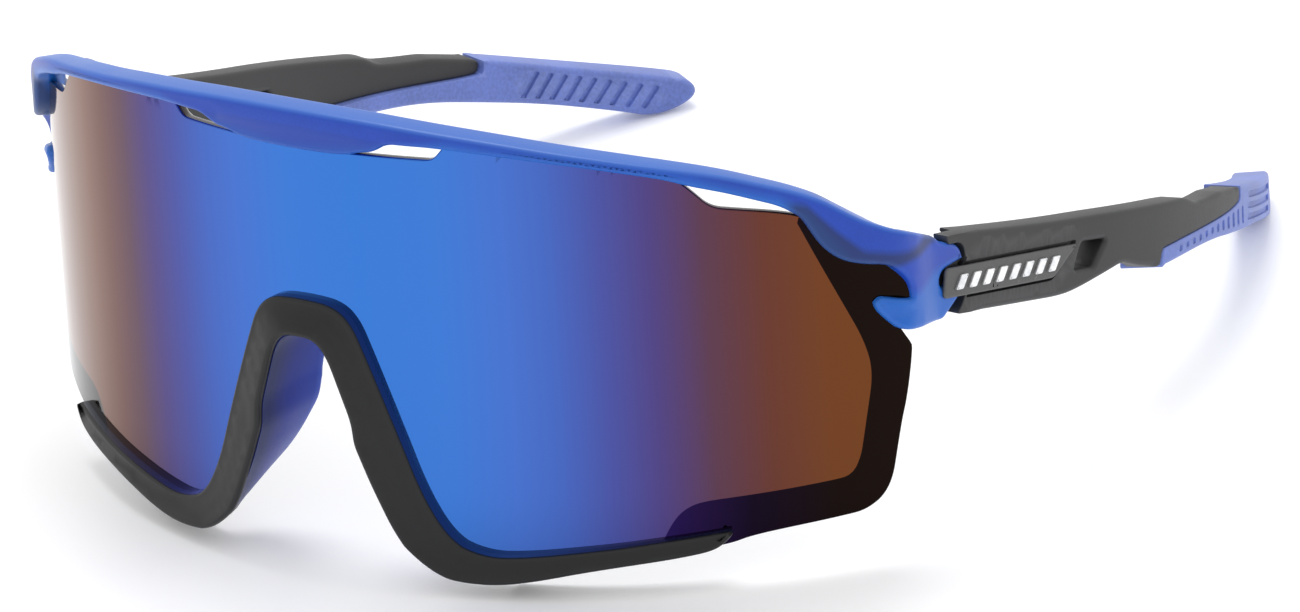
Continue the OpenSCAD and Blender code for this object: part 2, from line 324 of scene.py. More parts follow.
def plate(name, outlines, front, back, bend, round_front=0.5, round_back=0.5, step=1.6,
          front_sunk=(), back_sunk=(), side=1, mats=(0, 0, 0), lines=(), paint=None, true_face=False):
    """mats gives the material slots of the front, the back and the rim.
    true_face takes the normals of the faces from the bend itself, for a mirror."""
    loops = [turned(outlines[0])] + [turned(o, left=False) for o in outlines[1:]]

    def face_depth(p, which):
        if which > 0:
            return surface(front, p) - sum(s.at(p) for s in front_sunk)
        return surface(back, p) + sum(s.at(p) for s in back_sunk)

    turn_steps = [math.pi / 2 * k / ROLL_STEPS for k in range(ROLL_STEPS + 1)]
    pts, depth, faces, slots = [], [], [], []
    count = 0
    ends = {1: [], -1: []}
    for loop in loops:
        n = len(loop)
        last = None
        rf, rb = surface(round_front, loop), surface(round_back, loop)
        profile = [(rb + FLAT_BAND, -1, 0.0)]
        profile += [(rb * (1 - math.sin(a)), -1, rb * (1 - math.cos(a))) for a in turn_steps]
        profile += [(rf * (1 - math.cos(a)), 1, rf * (1 - math.sin(a))) for a in turn_steps]
        profile += [(rf + FLAT_BAND, 1, 0.0)]
        for k, (by, which, drop) in enumerate(profile):
            p = inset(loop, by)
            base = surface(front, loop) if which > 0 else surface(back, loop)
            pts.append(p)
            depth.append(base - which * drop)
            ids = list(range(count, count + n))
            count += n
            if last:
                faces += [[last[i], last[(i + 1) % n], ids[(i + 1) % n], ids[i]] for i in range(n)]
                slots += [mats[1] if k <= ROLL_STEPS else mats[2] if k <= ROLL_STEPS + 2 else mats[0]] * n
            last = ids
            if k == 0:
                ends[-1].append((p, ids))
        ends[1].append((p, last))
    for which, sunk in ((1, front_sunk), (-1, back_sunk)):
        crease = [(line, True) for s in sunk for line in s.lines()]
        crease += [(line, False) for line in (lines if which > 0 else ())]
        rings, ring_ids = zip(*ends[which])
        new, tris, middle = fill(rings, ring_ids, crease, step)
        tris = [[i if isinstance(i, int) else count + i[1] for i in f] for f in tris]
        pts.append(new)
        depth.append(face_depth(new, which))
        count += len(new)
        faces += tris if which > 0 else [f[::-1] for f in tris]
        if paint and which > 0:
            slots += list(paint(middle))
        else:
            slots += [mats[0] if which > 0 else mats[1]] * len(tris)
    flat = np.concatenate(pts)
    deep = np.concatenate(depth)
    co = bend(flat[:, 0], deep, flat[:, 1]) * np.array([side, 1, 1])
    obj = mesh_piece(name, co, faces if side > 0 else [f[::-1] for f in faces], slots)
    if true_face:
        h = 0.01
        du = bend(flat[:, 0] + h, deep, flat[:, 1]) - bend(flat[:, 0] - h, deep, flat[:, 1])
        dv = bend(flat[:, 0], deep, flat[:, 1] + h) - bend(flat[:, 0], deep, flat[:, 1] - h)
        exact = np.cross(du, dv) * np.array([side, 1, 1])
        exact /= np.linalg.norm(exact, axis=1)[:, None]
        mesh = obj.data
        plain = np.array([v.normal[:] for v in mesh.vertices])
        on_face = (plain * exact).sum(1) > TRUE_FACING
        normals = np.where(on_face[:, None], exact, plain)
        mesh.normals_split_custom_set_from_vertices(normals.tolist())
    return obj


def mesh_piece(name, co_mm, faces, slots=None, sharp=38):
    mesh = bpy.data.meshes.new(name)
    mesh.from_pydata((np.asarray(co_mm) * MM).tolist(), [], faces)
    mesh.update()
    if slots is not None:
        mesh.polygons.foreach_set("material_index", np.array(slots, np.int32))
    mesh.shade_smooth()
    mesh.set_sharp_from_angle(angle=math.radians(sharp))
    obj = bpy.data.objects.new(name, mesh)
    bpy.context.scene.collection.objects.link(obj)
    print(f"{name}: {len(mesh.vertices)} points, {len(mesh.polygons)} faces")
    return obj


def place(obj, body, slot, materials, *nodes):
    """Gives a piece its finish, hides the CAD parts that it replaces and attaches it to its body."""
    for m in materials:
        obj.data.materials.append(m)
    if nodes:
        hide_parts(*nodes)
    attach(obj, body)
    return obj


# %% [markdown]
# ## Camera, floor and light
# The glasses stand on the rim and both temple tips, seen from the front left and a little
# above with a long lens. The camera is turned slightly about its own axis. The floor is
# white and the light comes from everywhere, as in a light tent, with one large soft lamp
# above to give the shadows a direction.

# %% Camera
LOOK_AT = np.array([13.4, -20.1, 17.2]) * MM
AZIMUTH, ELEVATION, ROLL = (math.radians(v) for v in (35.64, 22.68, -4.93))
DISTANCE, FOCAL = 1.3896, 270.06
back = Vector((math.sin(AZIMUTH) * math.cos(ELEVATION),
               -math.cos(AZIMUTH) * math.cos(ELEVATION), math.sin(ELEVATION)))
right = Vector((math.cos(AZIMUTH), math.sin(AZIMUTH), 0))
up = back.cross(right)
cam_x = right * math.cos(ROLL) + up * math.sin(ROLL)
cam_y = up * math.cos(ROLL) - right * math.sin(ROLL)
cam_data = bpy.data.cameras.new("camera")
cam_data.lens = FOCAL
cam_data.sensor_width = 36.0
cam_data.clip_start, cam_data.clip_end = 0.05, 20.0
camera = bpy.data.objects.new("camera", cam_data)
bpy.context.scene.collection.objects.link(camera)
camera.matrix_world = Matrix.Translation(Vector(LOOK_AT) + back * DISTANCE) @ Matrix(
    (cam_x, cam_y, back)).transposed().to_4x4()
bpy.context.scene.camera = camera
bpy.context.scene.view_settings.view_transform = "Standard"
print("camera at", [round(v, 3) for v in camera.location])


# %% Node helper
def tree_of(owner):
    owner.use_nodes = True
    owner.node_tree.nodes.clear()
    return owner.node_tree


def add(tree, kind, inputs=None, **props):
    node = tree.nodes.new(kind)
    for key, value in props.items():
        setattr(node, key, value)
    for key, value in (inputs or {}).items():
        if isinstance(value, bpy.types.NodeSocket):
            tree.links.new(value, node.inputs[key])
        else:
            node.inputs[key].default_value = value
    return node


def calc(tree, operation, a, b=0.0):
    return add(tree, "ShaderNodeMath", {0: a, 1: b}, operation=operation).outputs[0]


def scaled(tree, value, low, high, to_low=0.0, to_high=1.0):
    """Carries low to high over to to_low to to_high."""
    return add(tree, "ShaderNodeMapRange", {"Value": value, "From Min": low, "From Max": high,
                                            "To Min": to_low, "To Max": to_high}).outputs[0]


def position(tree):
    """The place on the object in metres, as X, Y and Z."""
    place_in = add(tree, "ShaderNodeTexCoord")
    return add(tree, "ShaderNodeSeparateXYZ", {0: place_in.outputs["Object"]}).outputs


def srgb(r, g, b):
    """A colour as printed on a swatch, 0 to 255, for a shader's linear socket."""
    def lin(c):
        c /= 255
        return c / 12.92 if c <= 0.04045 else ((c + 0.055) / 1.055) ** 2.4
    return (lin(r), lin(g), lin(b), 1.0)


# %% Floor, world and lamps
def lamp(name, at, size, power, aim=(0, 0, 0.03)):
    data = bpy.data.lights.new(name, "AREA")
    data.shape, data.size, data.energy = "DISK", size, power
    obj = bpy.data.objects.new(name, data)
    obj.location = at
    obj.rotation_mode = "QUATERNION"
    obj.rotation_quaternion = (Vector(at) - Vector(aim)).to_track_quat("Z", "Y")
    bpy.context.scene.collection.objects.link(obj)
    return obj


world = bpy.data.worlds.new("tent")
bpy.context.scene.world = world
wt = tree_of(world)
sky = add(wt, "ShaderNodeBackground", {"Color": (1, 1, 1, 1), "Strength": 0.92})
add(wt, "ShaderNodeOutputWorld", {"Surface": sky.outputs[0]})
lamp("overhead", (-0.25, 0.25, 1.3), 0.7, 7.0)

floor_mesh = bpy.data.meshes.new("floor")
FLOOR = 4.0            # half its width, in metres
FLOOR_GAP = 0.0002     # keeps it just clear of the lowest points
floor_mesh.from_pydata([(-FLOOR, -FLOOR, 0), (FLOOR, -FLOOR, 0), (FLOOR, FLOOR, 0), (-FLOOR, FLOOR, 0)],
                       [], [(0, 1, 2, 3)])
floor = bpy.data.objects.new("floor", floor_mesh)
bpy.context.scene.collection.objects.link(floor)
floor.location.z = -FLOOR_GAP
floor_mat = bpy.data.materials.new("white_floor")
ft = tree_of(floor_mat)
paper = add(ft, "ShaderNodeTexNoise", {"Scale": 60.0})
fb = add(ft, "ShaderNodeBsdfPrincipled", {
    "Base Color": (0.93, 0.93, 0.94, 1), "Roughness": scaled(ft, paper.outputs["Fac"], 0.0, 1.0, 0.3, 0.4),
    "Specular IOR Level": 0.3, "Emission Color": (1, 1, 1, 1), "Emission Strength": 0.12})
add(ft, "ShaderNodeOutputMaterial", {"Surface": fb.outputs[0]})
floor_mesh.materials.append(floor_mat)
print("floor:", 2 * FLOOR, "m wide")

# %% [markdown]
# ## Shared effects
# Three effects come back in most of the finishes. Moulded grain is the fine spark-eroded
# texture of a plastic mould. Worn edge finds the corners that rub shiny. Handling is the
# faint patchiness that fingers leave on gloss. Each is one group of nodes that gives
# numbers only, and each material decides what they do.


# %% Effect groups
def group(name, inputs, outputs):
    g = bpy.data.node_groups.new(name, "ShaderNodeTree")
    for label, value in inputs:
        s = g.interface.new_socket(name=label, in_out="INPUT", socket_type="NodeSocketFloat")
        s.default_value = value
    for label in outputs:
        g.interface.new_socket(name=label, in_out="OUTPUT", socket_type="NodeSocketFloat")
    return g, g.nodes.new("NodeGroupInput"), g.nodes.new("NodeGroupOutput")


grain_group, gi, go = group("moulded_grain", [("Scale", 2500.0), ("Strength", 1.0)], ["Height", "Tone"])
place_in = add(grain_group, "ShaderNodeTexCoord")
fine = add(grain_group, "ShaderNodeTexNoise",
           {"Vector": place_in.outputs["Object"], "Scale": gi.outputs["Scale"], "Detail": 3.0})
broad = add(grain_group, "ShaderNodeTexNoise", {"Vector": place_in.outputs["Object"], "Scale": 90.0})
height = calc(grain_group, "MULTIPLY", fine.outputs["Fac"], gi.outputs["Strength"])
both = calc(grain_group, "ADD", fine.outputs["Fac"], broad.outputs["Fac"])
level = calc(grain_group, "MULTIPLY", both, 0.5)
grain_group.links.new(height, go.inputs["Height"])
grain_group.links.new(level, go.inputs["Tone"])

edge_group, gi, go = group("worn_edge", [("Amount", 1.0)], ["Mask"])
geo = add(edge_group, "ShaderNodeNewGeometry")
sharp_edge = scaled(edge_group, geo.outputs["Pointiness"], 0.51, 0.58)
mask = calc(edge_group, "MULTIPLY", sharp_edge, gi.outputs["Amount"])
edge_group.links.new(mask, go.inputs["Mask"])

hand_group, gi, go = group("handling", [("Low", 0.05), ("High", 0.15), ("Scale", 60.0)], ["Rough"])
place_in = add(hand_group, "ShaderNodeTexCoord")
smear = add(hand_group, "ShaderNodeTexNoise",
            {"Vector": place_in.outputs["Object"], "Scale": gi.outputs["Scale"], "Detail": 4.0})
patch = scaled(hand_group, smear.outputs["Fac"], 0.35, 0.7, gi.outputs["Low"], gi.outputs["High"])
hand_group.links.new(patch, go.inputs["Rough"])
print("effect groups:", [g.name for g in bpy.data.node_groups])


def use(tree, g, **inputs):
    return add(tree, "ShaderNodeGroup", node_tree=g, inputs=inputs)


def ramp(tree, fac, stops, smooth=False):
    node = add(tree, "ShaderNodeValToRGB", {"Fac": fac})
    node.color_ramp.interpolation = "B_SPLINE" if smooth else "LINEAR"
    band = node.color_ramp.elements
    while len(band) > 1:
        band.remove(band[-1])
    band[0].position, band[0].color = stops[0]
    for at, colour in stops[1:]:
        band.new(at).color = colour
    return node


def mix(tree, fac, a, b):
    node = add(tree, "ShaderNodeMix", data_type="RGBA", inputs={"Factor": fac})
    for key, value in (("A", a), ("B", b)):
        socket = [s for s in node.inputs if s.name == key and s.type == "RGBA"][0]
        if isinstance(value, bpy.types.NodeSocket):
            tree.links.new(value, socket)
        else:
            socket.default_value = value
    return [s for s in node.outputs if s.type == "RGBA"][0]


ROUGH_SWING = 0.06     # how far the grain's tone moves the roughness
GRAIN_HIGH = 0.00005


def moulded(name, colour, rough, grain=2500.0, bump=0.15, wear=0.25, worn=None, painted_light=None,
            spread=0.2, **fixed):
    """A moulded plastic or rubber: grain in the bump and tone, rubbed edges, a broad drift of colour."""
    mat = bpy.data.materials.new(name)
    nt = tree_of(mat)
    g = use(nt, grain_group, Scale=grain, Strength=1.0)
    e = use(nt, edge_group, Amount=wear)
    dark = tuple(c * (1 - spread) for c in colour[:3]) + (1,)
    light = tuple(min(1, c * (1 + spread)) for c in colour[:3]) + (1,)
    base = ramp(nt, g.outputs["Tone"], [(0.35, dark), (0.65, light)]).outputs[0]
    # painted light and shade, where a finish has them, laid over the base colour
    if painted_light:
        base = painted_light(nt, base)
    base = mix(nt, e.outputs["Mask"], base, worn or tuple(min(1, c * 2.2 + 0.01) for c in colour[:3]) + (1,))
    r = scaled(nt, g.outputs["Tone"], 0.3, 0.7, rough - ROUGH_SWING, rough + ROUGH_SWING)
    b = add(nt, "ShaderNodeBump", {"Height": g.outputs["Height"], "Strength": bump, "Distance": GRAIN_HIGH})
    shader = add(nt, "ShaderNodeBsdfPrincipled",
                 {"Base Color": base, "Roughness": r, "Normal": b.outputs[0], **fixed})
    add(nt, "ShaderNodeOutputMaterial", {"Surface": shader.outputs[0]})
    return mat


# %% [markdown]
# ## The mirror lens
# The shield is 2 mm polycarbonate with a vacuum-coated mirror, whose colour shifts with the
# angle it is seen at. Under the mirror a printed border hides the frame's grip. The mirror could
# be a glass shader with a thin film. Here a coloured metal with almost no roughness is used, and
# the colours seen from the front left, blue in the middle through purple to bronze at the sides,
# are painted by place on the lens as painted reflection colours that stay the same from any side.

# %% Lens finishes
LENS_MIDDLE = 9.0      # the painted reflection's bluest line, off centre towards the wearer's left
COAT_HALF = 75.0       # its colours run this far to either side


def across(nt, middle=0.0):
    """0 in the middle of the coat, 1 at its end on either side."""
    shift = calc(nt, "SUBTRACT", position(nt)["X"], middle * MM)
    return calc(nt, "DIVIDE", calc(nt, "ABSOLUTE", shift), COAT_HALF * MM)


def mirror(name, stops, low, high, middle=0.0):
    mat = bpy.data.materials.new(name)
    nt = tree_of(mat)
    # painted reflection colours of the coat, fixed by place across the lens
    colour = ramp(nt, across(nt, middle), stops).outputs[0]
    h = use(nt, hand_group, Low=low, High=high, Scale=45.0)
    shader = add(nt, "ShaderNodeBsdfPrincipled",
                 {"Base Color": colour, "Metallic": 1.0, "Roughness": h.outputs["Rough"]})
    add(nt, "ShaderNodeOutputMaterial", {"Surface": shader.outputs[0]})
    return mat


# The stops of the mirror and of the darker printed border are painted reflection colours, bluest near the middle
# and bronze at the sides.
lens_mirror = mirror("lens_mirror", [
    (0.0, srgb(56, 114, 197)), (0.16, srgb(60, 114, 197)), (0.28, srgb(68, 107, 190)),
    (0.36, srgb(68, 97, 177)), (0.44, srgb(72, 80, 152)), (0.52, srgb(77, 65, 122)),
    (0.60, srgb(88, 59, 76)), (0.68, srgb(99, 57, 48)), (0.76, srgb(107, 62, 36)),
    (1.0, srgb(109, 64, 32))], 0.04, 0.09, LENS_MIDDLE)
lens_border = mirror("lens_border", [
    (0.0, srgb(30, 40, 100)), (0.48, srgb(38, 26, 88)), (0.57, srgb(34, 20, 60)), (0.65, srgb(24, 15, 32)),
    (0.76, srgb(26, 18, 16)), (1.0, srgb(30, 22, 16))], 0.05, 0.1, LENS_MIDDLE)
lens_inside = moulded("lens_inside", srgb(34, 32, 36), 0.12, grain=900.0, bump=0.0, wear=0.0,
                      **{"Coat Weight": 0.6, "Coat Roughness": 0.05})
lens_edge = moulded("lens_edge", srgb(56, 38, 28), 0.25, grain=1500.0, bump=0.05, wear=0.2,
                    **{"Coat Weight": 0.3, "Coat Roughness": 0.1})
print("lens finishes:", [m.name for m in (lens_mirror, lens_border, lens_inside, lens_edge)])

# %% Lens mesh
lens_half = [
    (0, 62.9), (21.1, 63.0, 0.8), (23.1, 65.4, 1), (36.3, 63.9), (50.3, 61.1, 2.5), (52.9, 58.1, 2.5),
    (55.1, 55.2, 1.6), (63.1, 53.1), (65.7, 51.2), (68.6, 49.2), (72.3, 43.7, 2), (73.6, 41), (73.6, 36.5, 1),
    (72.5, 33.6, 0.6), (73.5, 30.6, 0.5), (73.3, 27.5), (72.8, 22.8), (72.3, 19.9), (71.3, 11.8, 2.2),
    (70.3, 9.3, 1.4), (68.6, 7.9, 1.4), (57.9, 7.1), (54.8, 5.8), (39.8, 4.7), (29.3, 3.3), (25.2, 3.3),
    (20.7, 4.9), (17.7, 8.1), (15.0, 13.6), (12.3, 21), (8.6, 31.2), (6.2, 37.4, 2.4), (4.8, 38.9, 1.5), (0, 39.5)]
lens_line = rounded([(along(p[0]), *p[1:]) for p in both_sides(lens_half)], 0.6)
border_half = [
    (63.7, 51.4), (65.5, 45.5, 3), (69.3, 32.9, 3), (70.0, 28.1, 3), (69.3, 22.3, 2), (68.5, 15.9, 1.6),
    (67.6, 13.5, 1.4), (65.7, 13.3), (56.3, 12.9), (52.2, 12.7), (50.3, 11.8, 2), (48.9, 10.1, 2), (47.4, 6.8)]
BEYOND, BELOW, ABOVE = 95.0, 2.0, 54.0     # a frame that lies outside the lens


def border_line(side):
    return rounded([(side * along(x), z, *c) for x, z, *c in border_half], 0.7, closed=False)


def border_area(side):
    """The border, closed off beyond the lens's outer end."""
    line = border_line(side)
    outer = [(line[-1][0], BELOW), (side * BEYOND, BELOW), (side * BEYOND, ABOVE), (line[0][0], ABOVE + 4)]
    return np.concatenate([line, np.array(outer)])


border_areas = [border_area(side) for side in (1, -1)]


def lens_paint(middle):
    """The material slot at each point: 1 in the border, 0 elsewhere."""
    left, right = (inside(middle, [area]) for area in border_areas)
    return np.where(left | right, 1, 0)


lens = plate("lens_shield", [lens_line], 0.0, -2.0, on_lens, 0.25, 1.2, step=2.0, mats=(0, 2, 3),
             lines=[border_line(1), border_line(-1)], paint=lens_paint, true_face=True)
for poly in lens.data.polygons:
    # the rolled edge carries on the finish of the face beside it
    if poly.material_index == 0:
        away = along(min(abs(poly.center.x) / MM, LENS_R)) * np.sign(poly.center.x)
        poly.material_index = int(lens_paint(np.array([[away, poly.center.z / MM]]))[0])
place(lens, "front", "mirror_lens", [lens_mirror, lens_border, lens_inside, lens_edge], "lens")

# %% [markdown]
# ## The brow
# The brow is one translucent blue moulding: a bar in front of the lens's top edge, a wide
# tab over the nose, and at each end a fork whose upper arm and small claw grip the lens.
# Behind the fork it turns back and ends in a rounded knuckle for the hinge. Drawn along
# one line from the middle to the knuckle it is a single plate, whose thickness grows
# towards the hinge.

# %% Brow mesh
BROW_DEEP, KNUCKLE_R = 4.6, 3.2


def bu(u):
    """Brow distance of a point u behind the hinge axis."""
    return HINGE_S + u


brow_half = [
    (0, 69.2), (at_x(11), 68.9), (at_x(19.7), 68.1), (at_x(30), 66.8), (at_x(38.9), 65.1),
    (at_x(46), 63.6), (at_x(56.5), 60.9), (at_x(63.1), 57.8), (at_x(65.5), 56.4),
    (at_x(67.5), 54.9), (at_x(69.3), 52.9), (at_x(71), 51.0), (at_y(-46.4), 48.9),
    (at_y(-40.8), 46.3), (bu(-3.5), 43.7, 0.6), (bu(-1.6), 41.9, 0.6), (bu(0.4), 41.3), (bu(2.4), 40.0),
    (bu(2.95), 37.95, 0.2), (bu(-2.2), 37.95, 1.2), (bu(-3.1), 36.6, 1.2), (bu(-2.2), 35.25, 1.2),
    (bu(2.9), 35.25, 0.2), (bu(2.4), 33.3), (bu(0.2), 32.2), (bu(-2.6), 30.9, 0.5), (at_y(-36), 31.2),
    (at_y(-43.6), 33.0, 0.8), (at_y(-45.2), 33.7, 0.6), (at_y(-48.0), 36.7, 0.5),
    (at_y(-48.6), 38.1, 0.6), (at_y(-47.4), 38.8, 0.5), (at_y(-42.9), 37.4, 0.5), (at_y(-43.2), 39.9),
    (at_y(-44.7), 41.9, 1.5), (at_y(-46.5), 43.5, 1.5), (at_x(69.8), 45.0), (at_x(68.2), 46.6),
    (at_x(67.1), 48.4), (at_x(66.2), 50.7), (at_x(65.4), 52.8), (at_x(64.5), 53.8),
    (at_x(63.2), 55.0), (at_x(61.4), 56.0), (at_x(57.9), 57.8), (at_x(53.9), 59.3),
    (at_x(50.7), 60.8), (at_x(39), 63.5), (at_x(24), 65.5), (at_x(15.8), 65.5, 1.2),
    (at_x(13.3), 63.9, 1.4), (at_x(11.3), 63.7), (at_x(8.8), 62.8), (0, 62.7)]
brow_line = rounded(both_sides(brow_half), 0.55)


def brow_front(s, z):
    """The tab leans back below a curved crease, the cheek swells, and the claw lies close to the lens."""
    q = np.abs(s)
    crease = np.interp(q, [0, 9, 15, 21], [67.2, 66.9, 66.2, 65.3])
    tab = -0.25 * np.clip(crease - z, 0, 6) * np.clip((22 - q) / 5, 0, 1)
    cheek = np.interp(q, [at_y(-48), at_y(-43.5), at_y(-41), bu(-4)], [0, 0.9, 0.9, 0])
    claw = -np.interp(q, [at_y(-46.5), at_y(-44.5)], [0.9, 0]) * np.clip((41 - z) / 1.5, 0, 1)
    return tab + cheek + claw


def brow_back(s, z):
    """The back deepens towards the hinge and rounds off over the knuckle."""
    q = np.abs(s)
    u = q - HINGE_S
    stations = [0, ARC_S - 6, HINGE_S - 9, HINGE_S]
    deep = np.interp(q, stations, [BROW_DEEP, BROW_DEEP, BROW_DEEP + 1.2, ARM_OUT + 2.9])
    ball = ARM_OUT + np.sqrt(np.clip(KNUCKLE_R**2 - np.clip(u, 0, None) ** 2, 0.04, None))
    return -np.where(u > 0, np.minimum(deep, ball), deep)


def brow_round(s, z):
    """The back edge rolls over softly along the top and only a little round the knuckle."""
    return np.interp(np.abs(s), [0, 50, ARC_S, HINGE_S - 9], [1.1, 1.0, 2.1, 0.5])


LINE_X, LINE_Z = 80, 100       # what a height line's ramp spans, in mm


def height_line(nt, away, corners):
    """A height in metres that follows (x, z) corners in mm, x at the same distance on both sides."""
    stops = [(x / LINE_X, (z / LINE_Z,) * 3 + (1,)) for x, z in corners]
    line = ramp(nt, calc(nt, "DIVIDE", away, LINE_X * MM), stops)
    return calc(nt, "MULTIPLY", line.outputs[0], LINE_Z * MM)


def brow_painted_light_and_shade(nt, base):
    """A painted highlight along the top, a painted glow at the lower edge, painted shade on the tab below its
    crease, and painted shade under the fork's upper arm, where the dark lens lies behind.
    """
    where = position(nt)
    away = calc(nt, "ABSOLUTE", where["X"])
    normal = add(nt, "ShaderNodeSeparateXYZ", {0: add(nt, "ShaderNodeNewGeometry").outputs["Normal"]})
    # painted highlight: faces that look up are lighter
    top = scaled(nt, normal.outputs["Z"], 0.3, 0.95, to_high=0.8)
    lit = mix(nt, top, base, srgb(66, 112, 192))
    # painted glow: a brighter blue along the lower edge, as if light shone through the plastic
    lower = height_line(nt, away, [(0, 62.7), (13, 63.9), (24, 65.5), (39, 63.5), (51, 60.8), (55, 59.4),
                                   (63.4, 55.4), (66, 53), (70, 44.9), (72, 43.4), (72.6, 38.5), (74, 37.2)])
    painted_glow = scaled(nt, calc(nt, "SUBTRACT", where["Z"], lower), 0.0016, 0.0, to_high=0.7)
    lit = mix(nt, painted_glow, lit, srgb(28, 108, 200))
    # painted shade on the tab below its crease, where it leans back from the light
    facet = height_line(nt, away, [(0, 67.0), (9, 66.7), (15, 66.0), (21, 65.1)])
    tab_shade_mask = scaled(nt, calc(nt, "SUBTRACT", facet, where["Z"]), 0.0, 0.0004)
    on_tab = scaled(nt, away, 0.021, 0.017, to_high=0.55)
    lit = mix(nt, calc(nt, "MULTIPLY", tab_shade_mask, on_tab), lit, srgb(24, 62, 160))
    # painted shade under the fork's upper arm and above the claw, where the dark lens lies behind
    inner = height_line(nt, away, [(62, 56.5), (66, 54.6), (68.5, 50.4), (71, 46.6), (75, 44.2)])
    deep = scaled(nt, calc(nt, "SUBTRACT", inner, where["Z"]), -0.0006, 0.0006)
    above_claw = scaled(nt, where["Z"], 0.0425, 0.0435)
    on_arms = scaled(nt, away, 0.0635, 0.0650, to_high=0.8)
    shade = calc(nt, "MULTIPLY", calc(nt, "MULTIPLY", deep, above_claw), on_arms)
    return mix(nt, shade, lit, srgb(24, 42, 88))


# The brow's blue carries painted light: a highlight along the top, a glow at the lower edge, and shade on the tab
# and under the fork.
brow_blue = moulded("brow_blue", srgb(26, 68, 176), 0.36, grain=3200.0, bump=0.08, wear=0.3,
                    worn=srgb(70, 132, 222), painted_light=brow_painted_light_and_shade, spread=0.1,
                    **{"Specular IOR Level": 0.35})
brow = plate("brow_bar", [brow_line], brow_front, brow_back, on_brow, 0.75, brow_round, step=1.5)
place(brow, "front", "blue_translucent", [brow_blue], "brow_frame")

# %% [markdown]
# ## The lower rim
# A satin black W grips the lens's lower edge and carries the nose piece. Its front stands
# 3 mm proud, so the wall that faces the lens is a glossy strip, and the mirror's blue on it
# is a painted reflection. It is one plate again, bent on the lens's cylinder, from behind
# the lens to the lip.

# %% Rim mesh
RIM_FRONT = 3.1
rim_lens_side = [
    (0, 41.0), (5.2, 40.6, 2.4), (7.9, 38.3, 2.4), (10.5, 31.9), (14.4, 21.4), (16.7, 14.8), (19.4, 9.6),
    (22.0, 6.9), (25.6, 5.4), (29.3, 5.3), (39.8, 6.7), (47.7, 7.6), (55.4, 8.3, 0.8)]
rim_nose_side = [
    (57.4, 8.1, 1.2), (55.5, 5.9, 1.0), (53.4, 5.1), (41.4, 3.4), (32.2, 0.8), (28, 0.1), (24.1, 0.2),
    (19.8, 1.1), (14.1, 7.3), (10.3, 15.6, 1.5), (8.1, 21.1, 0.9), (7.8, 24.5, 1.5), (4.6, 33.7, 2.5),
    (2.7, 35.8, 2), (0, 36)]
rim_half = [(along(x), z, *c) for x, z, *c in rim_lens_side]
rim_half += [(along(x, RIM_FRONT), z, *c) for x, z, *c in rim_nose_side]
rim_line = rounded(both_sides(rim_half), 0.5)
lens_edge_line = rounded(rim_half[:len(rim_lens_side)], 0.6, closed=False)
nose_edge_line = rounded(rim_half[len(rim_lens_side):], 0.6, closed=False)


def rim_crown(s, z):
    """Proudest along the nose side, lower beside the lens, and lower towards the rim's ends."""
    q = np.abs(s)
    p = np.stack([q, z], -1)
    to_lens, to_nose = (gap_to(p, line, closed=False) for line in (lens_edge_line, nose_edge_line))
    high = np.interp(q, [0, 24, 40, 57], [RIM_FRONT, 2.7, 2.4, 1.8])
    low = np.interp(q, [0, 30, 57], [1.6, 1.7, 1.3])
    return low + (high - low) * to_lens / (to_lens + to_nose)


def rim_back(s, z):
    """Behind the lens, except beside the nose, where the nose piece takes the wall's place."""
    q = np.abs(s)
    to_nose = gap_to(np.stack([q, z], -1), nose_edge_line, closed=False)
    return -3.6 + np.interp(to_nose, [0.4, 2.2], [5.4, 0]) * np.clip((29 - q) / 3, 0, 1)


def on_rim(s, d, z):
    """The underside slopes, so that the rim stands on its back edge."""
    lift = 1.9 * np.clip((d + 2.2) / 4.4, 0, 1) * np.clip((7 - z) / 7, 0, 1)
    return on_lens(s, d, z + lift)


rim_black = moulded("rim_black", srgb(12, 12, 13), 0.4, grain=2600.0, bump=0.15, wear=0.35,
                    worn=srgb(60, 62, 64), **{"Specular IOR Level": 0.4})


def wall_painted_reflection(nt, base):
    """A painted reflection of the mirror's blue on the wall beside the lens, strongest near the middle."""
    away = calc(nt, "ABSOLUTE", position(nt)["X"])
    return mix(nt, scaled(nt, away, 0.024, 0.05, 0.8, 0.1), base, srgb(20, 40, 104))


# the blue mixed into this wall is a painted reflection of the lens
rim_wall = moulded("rim_wall", srgb(20, 24, 36), 0.14, grain=1500.0, bump=0.03, wear=0.1, painted_light=wall_painted_reflection,
                   **{"Coat Weight": 0.5, "Coat Roughness": 0.08})
rim = plate("lower_rim_w", [rim_line], rim_crown, rim_back, on_rim, 0.5, 0.3, step=1.2, mats=(0, 0, 1))
ARCH_X = 0.011                     # the arch over the nose reaches this far out, in metres
ARCH_RISE, SIDE_RISE = 0.2, 0.05   # how far a glossy face must look up
for poly in rim.data.polygons:
    # the glossy wall, with its painted reflection of the lens's blue, is only the side that looks at the lens,
    # never the underside or the nose side
    rise = ARCH_RISE if abs(poly.center.x) < ARCH_X else SIDE_RISE
    if poly.material_index == 1 and (poly.normal.z < rise or poly.normal.z < SIDE_RISE):
        poly.material_index = 0
place(rim, "front", "black_satin", [rim_black, rim_wall], "lower_rim")

# %% [markdown]
# ## The nose piece
# A soft translucent arch lines the rim's opening and goes back along the nose. It could be
# another plate, but its back edge flares outward towards the bottom, so it is lofted: a
# small closed section is carried along the arch, and its back end is pushed outward where
# the nose widens.

